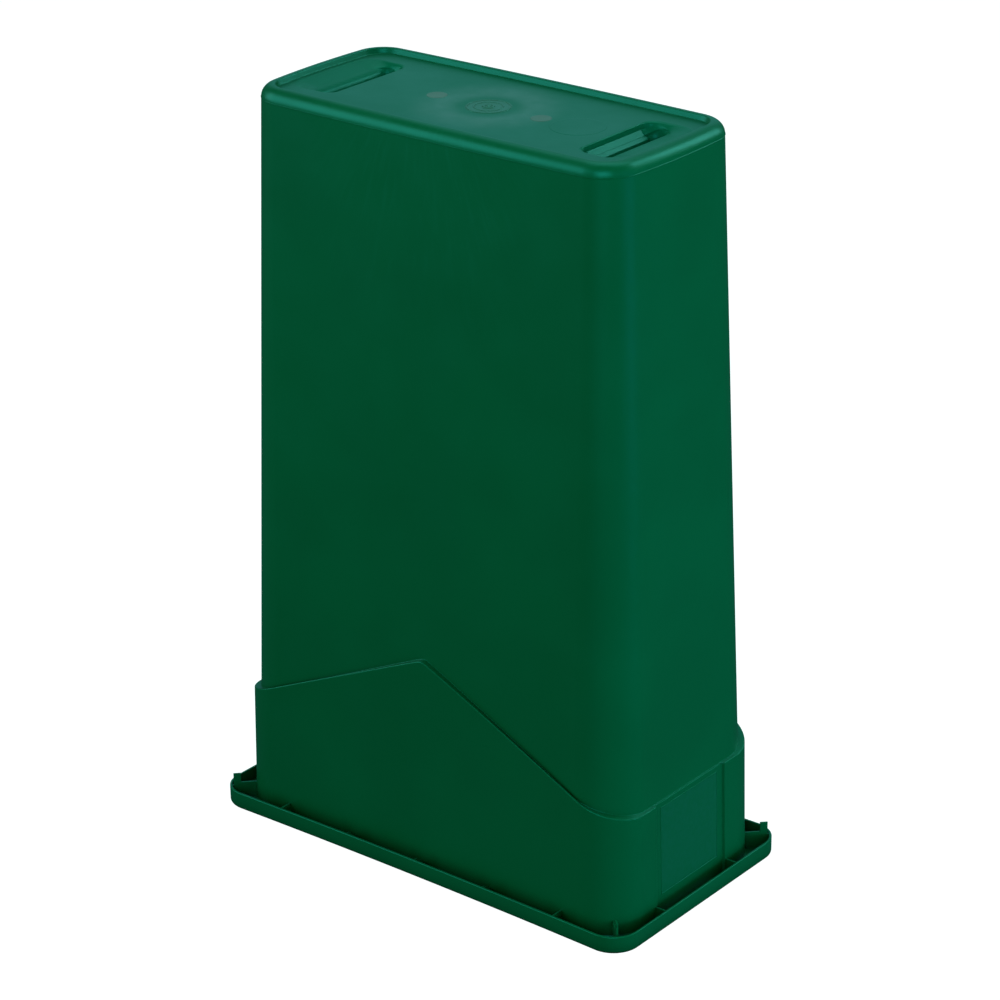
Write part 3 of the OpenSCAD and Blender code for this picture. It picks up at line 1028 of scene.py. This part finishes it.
def moulded_plastic(name, base=GREEN, deep=GREEN_DEEP, rough=0.36):
    """Satin moulded polyethylene: faint clouding, fine grain and a slight unevenness of the surface."""
    n = Nodes(name)
    cloud = n.noise(n.place, 7.0, 2.0)
    colour = n.mix(n.remap(cloud, 0.35, 0.65, 0.0, 1.0, True), deep, base)
    speck = n.noise(n.place, 900.0, 2.0)
    colour = n.mix(n.remap(speck, 0.35, 0.7, 0.0, 0.12), colour, GREEN_PALE)
    n.link(colour, n.shader.inputs["Base Color"])
    patch = n.noise(n.place, 18.0, 3.0)
    n.link(n.remap(patch, 0.3, 0.7, rough - 0.03, rough + 0.04), n.shader.inputs["Roughness"])
    grain = n.noise(n.place, 1500.0, 2.0)
    normal = n.bump(grain, 0.10, 0.0002)
    swell = n.noise(n.place, 45.0, 2.0)
    normal = n.bump(swell, 0.05, 0.0008, normal)
    n.link(normal, n.shader.inputs["Normal"])
    n.shader.inputs["IOR"].default_value = 1.5
    n.shader.inputs["Specular Tint"].default_value = (*SHEEN, 1.0)
    return n


def paint_crevice_shade(n):
    """Paints shade into the colour where the surface is closed in: painted shade for the trough, the ribs
    and other deep corners.
    """
    near = n.add("ShaderNodeAmbientOcclusion")
    near.samples = 8
    near.inputs["Distance"].default_value = 0.022
    openness = n.remap(near.outputs["AO"], 0.30, 0.82, 0.0, 1.0)
    # The painted shade goes into the base colour wherever the surface is closed in
    n.link(n.mix(openness, PAINTED_CREVICE_SHADE, n.base_colour()), n.shader.inputs["Base Color"])


def add_streaks(n):
    """Faint streaks high on the long walls, where the melt fanned out from the gate in the base."""
    x, _, z = n.axes()
    below = n.math("SUBTRACT", CREST_Z * MM + FAN_HEIGHT, z)
    fan = n.add("ShaderNodeCombineXYZ")
    n.link(n.math("DIVIDE", x, below), fan.inputs["X"])
    n.link(n.math("MULTIPLY", below, 0.6), fan.inputs["Y"])
    streaks = n.remap(n.noise(fan.outputs[0], 38.0, 3.0, 0.6), 0.5, 0.72, 0.0, 0.35)
    fade = n.remap(below, *STREAK_FADE, 1.0, 0.0, True)
    near_middle = n.remap(n.math("ABSOLUTE", x), *STREAK_SPREAD, 1.0, 0.0, True)
    n.tint(n.product(streaks, fade, near_middle), GREEN_PALE)


def add_plates(n):
    """A slightly paler, mottled field inside the outline on each end panel."""
    x, y, z = n.axes()
    between_sides = n.remap(n.math("ABSOLUTE", y), *PLATE_SIDE, 1.0, 0.0)
    on_ends = n.remap(n.math("ABSOLUTE", x), *PLATE_OUT, 0.0, 1.0)
    above = n.remap(z, *PLATE_LOW, 0.0, 1.0)
    below = n.remap(z, *PLATE_HIGH, 1.0, 0.0)
    mottle = n.remap(n.noise(n.place, 220.0, 3.0), 0.35, 0.7, 0.1, 0.6)
    n.tint(n.product(between_sides, on_ends, above, below, mottle), PLATE)


def tub_plastic():
    """The tub's plastic: streaks on the walls, a paler field on the end panels and painted shade in the
    crevices.
    """
    n = moulded_plastic("tub_green")
    add_streaks(n)
    add_plates(n)
    paint_crevice_shade(n)
    return n.material


def gate_distance(n):
    """How far a point is from the vertical line through the gate, in metres."""
    x, y, _ = n.axes()
    flat = n.add("ShaderNodeCombineXYZ")
    n.link(x, flat.inputs["X"])
    n.link(y, flat.inputs["Y"])
    length = n.add("ShaderNodeVectorMath", operation="LENGTH")
    n.link(flat.outputs[0], length.inputs[0])
    return length.outputs["Value"]


def base_plastic():
    """The base panel's plastic: a slightly paler, bluer tone away from the gate, with a pale bloom round
    the gate.
    """
    n = moulded_plastic("base_green")
    distance = gate_distance(n)
    rise = n.remap(distance, *BLOOM_START, 0.0, 1.0, True)
    fall = n.remap(distance, *BLOOM_END, 1.0, 0.0, True)
    mottle = n.remap(n.noise(n.place, 60.0, 4.0), 0.35, 0.65, 0.55, 1.0)
    outer_tone = n.remap(distance, *OUTER_TONE_START, 0.1, 0.75, True)
    gate = n.remap(distance, *GATE_EDGE, 1.0, 0.0, True)
    n.tint(outer_tone, BASE_OUTER_TONE)
    n.tint(n.product(rise, fall, mottle, 0.85), BLOOM)
    n.tint(n.product(gate, 0.7), BLOOM)
    return n.material


def pocket_plastic():
    """The grip pockets' plastic: a paler green than the rest, as painted light on the pockets' shaded
    walls, and less shiny.
    """
    n = moulded_plastic("pocket_green", POCKET_GREEN_PAINTED_LIGHT, POCKET_DEEP_PAINTED_LIGHT)
    n.shader.inputs["Specular IOR Level"].default_value = 0.3
    return n.material


def pad_plastic():
    """The ejector pads' plastic: paler, and matt."""
    return moulded_plastic("pad_green", PAD_GREEN, PAD_DEEP, rough=0.55).material


def finish_piece(piece, material):
    """Gives a piece its material and slot, and fixes it to the one body."""
    piece.data.materials.clear()
    piece.data.materials.append(material)
    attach(piece, "root")


# ---------------------------------------------------------------- studio

# Angles in degrees and lengths in metres, but the lens in millimetres
CAMERA_AZIMUTH = 38.82
CAMERA_ELEVATION = 23.58
CAMERA_ROLL = -0.6
CAMERA_DISTANCE = 3.23
CAMERA_LENS = 121.1
TARGET_Z = 0.354
TARGET_SHIFT = 0.0067
LIGHT_TARGET_Z = 0.4

# Colours of the lights and of the surround, and the way to the surround's brightest point
GREENISH = (0.35, 1.0, 0.95)
TEAL = (0.3, 1.0, 1.1)
BLUISH = (0.2, 1.0, 1.8)
SURROUND = (0.22, 0.86, 0.92, 1)
BRIGHT_WAY = (-0.55, 0.76, 0.35)


def direction(azimuth, elevation):
    """A unit vector in a direction given in degrees. Azimuth 0 is in front, and it grows towards +X."""
    az = math.radians(azimuth)
    el = math.radians(elevation)
    return Vector((math.sin(az) * math.cos(el), -math.cos(az) * math.cos(el), math.sin(el)))


def build_camera():
    back = direction(CAMERA_AZIMUTH, CAMERA_ELEVATION)
    right = direction(CAMERA_AZIMUTH + 90, 0)
    up = back.cross(right)
    c = math.cos(math.radians(CAMERA_ROLL))
    s = math.sin(math.radians(CAMERA_ROLL))
    rolled_right = c * right + s * up
    rolled_up = c * up - s * right
    eye = Vector((0, 0, TARGET_Z)) + TARGET_SHIFT * right + CAMERA_DISTANCE * back
    turn = Matrix((rolled_right, rolled_up, back)).transposed().to_4x4()
    data = bpy.data.cameras.new("camera")
    data.lens = CAMERA_LENS
    data.sensor_width = 36
    data.clip_end = 50
    camera = bpy.data.objects.new("camera", data)
    camera.matrix_world = Matrix.Translation(eye) @ turn
    bpy.context.scene.collection.objects.link(camera)
    bpy.context.scene.camera = camera


def area_light(name, azimuth, elevation, distance, size, power, tint, glossy=True):
    """A soft box aimed at the container from a direction in degrees."""
    way = direction(azimuth, elevation)
    data = bpy.data.lights.new(name, "AREA")
    data.shape = "RECTANGLE"
    data.size, data.size_y = size
    data.energy = power
    data.color = tint
    lamp = bpy.data.objects.new(name, data)
    lamp.location = Vector((0, 0, LIGHT_TARGET_Z)) + way * distance
    lamp.rotation_euler = way.to_track_quat("Z", "Y").to_euler()
    lamp.visible_glossy = glossy
    bpy.context.scene.collection.objects.link(lamp)


def add_surround(tree):
    """A dim surround for reflections, with a brighter patch behind the container."""
    coords = tree.nodes.new("ShaderNodeTexCoord")
    dot = tree.nodes.new("ShaderNodeVectorMath")
    dot.operation = "DOT_PRODUCT"
    dot.inputs[1].default_value = BRIGHT_WAY
    tree.links.new(coords.outputs["Generated"], dot.inputs[0])
    ramp = tree.nodes.new("ShaderNodeMapRange")
    ramp.interpolation_type = "SMOOTHSTEP"
    for key, number in {"From Min": 0.86, "From Max": 0.995, "To Min": 0.06, "To Max": 0.6}.items():
        ramp.inputs[key].default_value = number
    tree.links.new(dot.outputs["Value"], ramp.inputs["Value"])
    surround = tree.nodes.new("ShaderNodeBackground")
    surround.inputs["Color"].default_value = SURROUND
    tree.links.new(ramp.outputs["Result"], surround.inputs["Strength"])
    return surround.outputs[0]


def build_world():
    """A white backdrop for the camera, and the surround for everything else."""
    world = bpy.data.worlds.new("studio")
    bpy.context.scene.world = world
    world.use_nodes = True
    tree = world.node_tree
    tree.nodes.clear()
    backdrop = tree.nodes.new("ShaderNodeBackground")
    backdrop.inputs["Color"].default_value = (1, 1, 1, 1)
    path = tree.nodes.new("ShaderNodeLightPath")
    mix = tree.nodes.new("ShaderNodeMixShader")
    tree.links.new(path.outputs["Is Camera Ray"], mix.inputs["Fac"])
    tree.links.new(add_surround(tree), mix.inputs[1])
    tree.links.new(backdrop.outputs[0], mix.inputs[2])
    out = tree.nodes.new("ShaderNodeOutputWorld")
    tree.links.new(mix.outputs[0], out.inputs["Surface"])


def floor_material():
    """A pale floor that glows a little, so that it meets the backdrop without an edge."""
    n = Nodes("floor_pale")
    tone = n.remap(n.noise(n.place, 2.0, 2.0), 0.3, 0.7, 0.22, 0.24)
    shade = n.add("ShaderNodeCombineColor")
    for channel in ("Red", "Green", "Blue"):
        n.link(tone, shade.inputs[channel])
    n.link(shade.outputs[0], n.shader.inputs["Base Color"])
    n.shader.inputs["Roughness"].default_value = 0.9
    n.shader.inputs["Emission Color"].default_value = (1, 1, 1, 1)
    n.shader.inputs["Emission Strength"].default_value = 0.98
    return n.material


def build_floor():
    """A wide floor just under the rim."""
    half = 6000.0
    height = -0.2
    steps = 12
    places = [-half + 2 * half * i / steps for i in range(steps + 1)]
    verts = [(x, y, height) for x in places for y in places]
    faces = []
    for i in range(steps):
        for j in range(steps):
            a = i * (steps + 1) + j
            faces.append((a, a + steps + 1, a + steps + 2, a + 1))
    floor = make_object("floor", verts, faces)
    floor.modifiers.clear()
    floor.data.materials.append(floor_material())
    floor.visible_glossy = False
    floor.visible_diffuse = False


def build_studio():
    build_camera()
    build_world()
    build_floor()
    area_light("key_right", 95, 14, 3.2, (2.0, 2.4), 44, TEAL, glossy=False)
    area_light("key_front", 32, 24, 3.2, (1.8, 2.0), 48, GREENISH)
    area_light("overhead", 200, 70, 3.0, (2.4, 2.0), 25, GREENISH)
    area_light("fill_left", -50, 24, 3.4, (3.4, 2.4), 78, GREENISH)
    area_light("low_right", 105, -6, 2.0, (0.8, 0.4), 10, BLUISH, glossy=False)
    area_light("edge_strip", 152, 33, 3.0, (0.8, 1.6), 24, GREENISH)
    bpy.context.scene.view_settings.view_transform = "Standard"


# ---------------------------------------------------------------- build everything

def build_container():
    tub = tub_plastic()
    base = base_plastic()
    pocket = pocket_plastic()
    pad = pad_plastic()
    finish_piece(build_rim(), tub)
    finish_piece(build_tub(), tub)
    finish_piece(build_ribs(), tub)
    finish_piece(build_gussets(), tub)
    finish_piece(build_frames(), tub)
    finish_piece(build_panel(), base)
    finish_piece(build_pocket("left_grip_pocket", -1), pocket)
    finish_piece(build_pocket("right_grip_pocket", 1), pocket)
    finish_piece(build_gate(), base)
    finish_piece(build_pads(), pad)
    finish_piece(build_disc(), base)


build_container()
build_studio()
